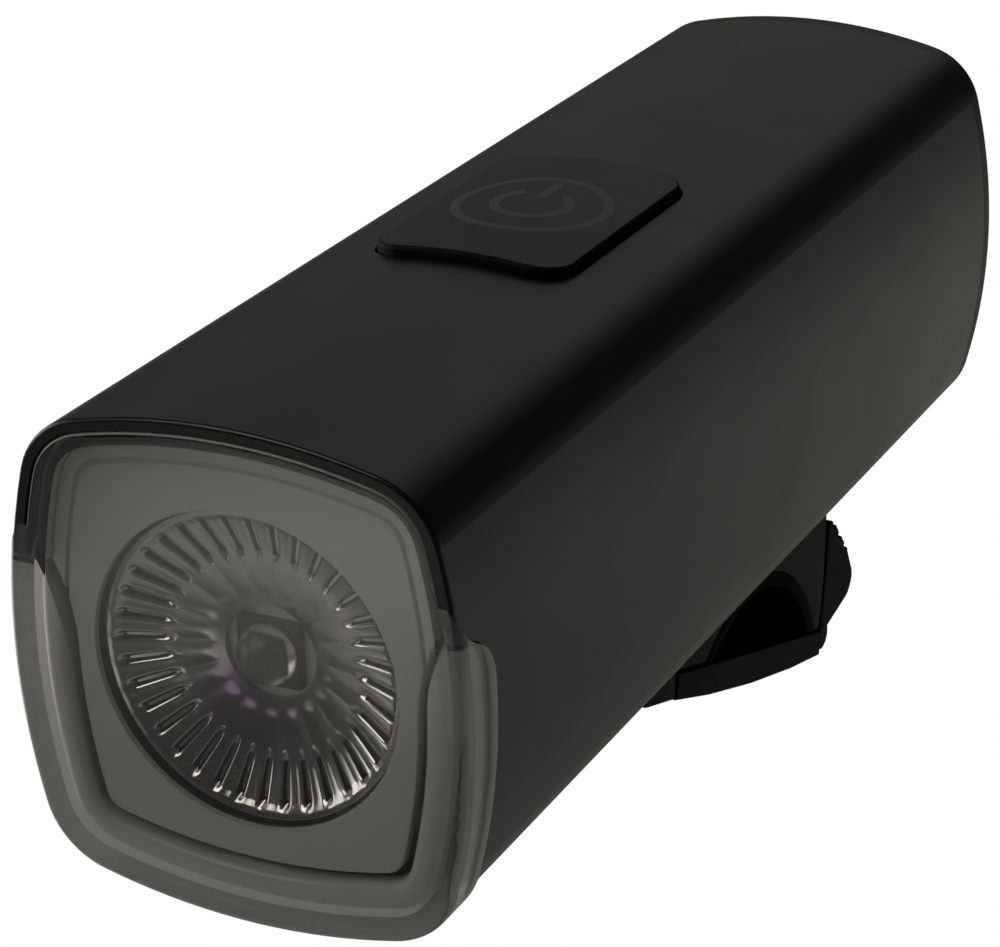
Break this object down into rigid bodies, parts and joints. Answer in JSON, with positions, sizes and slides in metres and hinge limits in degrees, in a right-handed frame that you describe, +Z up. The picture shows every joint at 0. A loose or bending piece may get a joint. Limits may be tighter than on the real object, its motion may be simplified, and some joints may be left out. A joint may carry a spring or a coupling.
{
  "type": "bike headlight",
  "caption": "Handlebar light: bowed rounded-square body, clear lens that wraps back over its lower half, top power button, covered charging port, and a rubber strap mount below.",
  "frame": {"origin": "on the handlebar's axis, halfway across the seat", "axes": "+X along the handlebar, towards the left as seen from in front, -Y the way the beam leaves, +Z up"},
  "size_m": [0.0366, 0.11, 0.0555],
  "materials": {
    "anodised_body": "satin black anodised",
    "clear_lens": "clear, polished",
    "trim_ring": "satin light grey",
    "dark_rubber": "matte",
    "grey_bezel": "satin grey",
    "bright_reflector": "vacuum-metallised, pleated",
    "led_phosphor": "phosphor under a clear dome",
    "white_board": "white solder mask on a metal core",
    "steel_fasteners": "bright",
    "bare_aluminium": "machined",
    "wire_sheath": "soft sheath",
    "black_plastic": "fine texture",
    "cell_sleeve": "shrink sleeve over a steel can, at the cell's real density",
    "plated_contacts": "plated",
    "circuit_board": "green solder mask",
    "chip_black": "moulded",
    "switch_plunger": "moulded",
    "indicator_light": "frosted",
    "button_rubber": "soft matte",
    "icon_window": "smoked light window",
    "black_screws": "blackened",
    "bracket_plastic": "fine texture",
    "pad_rubber": "soft matte",
    "strap_rubber": "satin"
  },
  "bodies": {
    "light": {"housing_shell": "anodised_body", "front_lens": "clear_lens", "lens_trim": "trim_ring", "lens_gasket": "dark_rubber", "bezel_plate": "grey_bezel", "reflector": "bright_reflector", "led_emitter": "led_phosphor", "led_board": "white_board", "led_board_screws": "steel_fasteners", "heat_sink": "bare_aluminium", "led_wires": "wire_sheath", "battery_cradle": "black_plastic", "battery_cell": "cell_sleeve", "cell_tabs": "plated_contacts", "main_board": "circuit_board", "control_chips": "chip_black", "tactile_switch": "chip_black", "status_leds": "indicator_light", "usb_socket": "plated_contacts", "button_seal": "dark_rubber", "rear_cap": "black_plastic", "cap_screws": "black_screws", "rear_gasket": "dark_rubber", "bar_bracket": "bracket_plastic", "bracket_screws": "black_screws", "seat_pad": "pad_rubber", "strap_pin": "steel_fasteners"},
    "strap": {"rubber_strap": "strap_rubber"},
    "flap": {"port_flap": "button_rubber"},
    "button": {"power_button": "button_rubber", "button_icon": "icon_window", "switch_plunger": "switch_plunger"}
  },
  "joints": [
    {"name": "strap_swing", "type": "hinge", "parent": "light", "child": "strap", "pos_m": [0, -0.026, 0.0165], "axis": [-1, 0, 0], "range_deg": [0, 110]},
    {"name": "flap_swing", "type": "hinge", "parent": "light", "child": "flap", "pos_m": [0, 0.0401, 0.04323], "axis": [-1, 0, 0], "range_deg": [0, 90]},
    {"name": "button_press", "type": "slide", "parent": "light", "child": "button", "axis": [0, 0, -1], "range_m": [0, 0.0007], "stiffness_N_per_m": 2500, "springref_m": -0.0002}
  ]
}
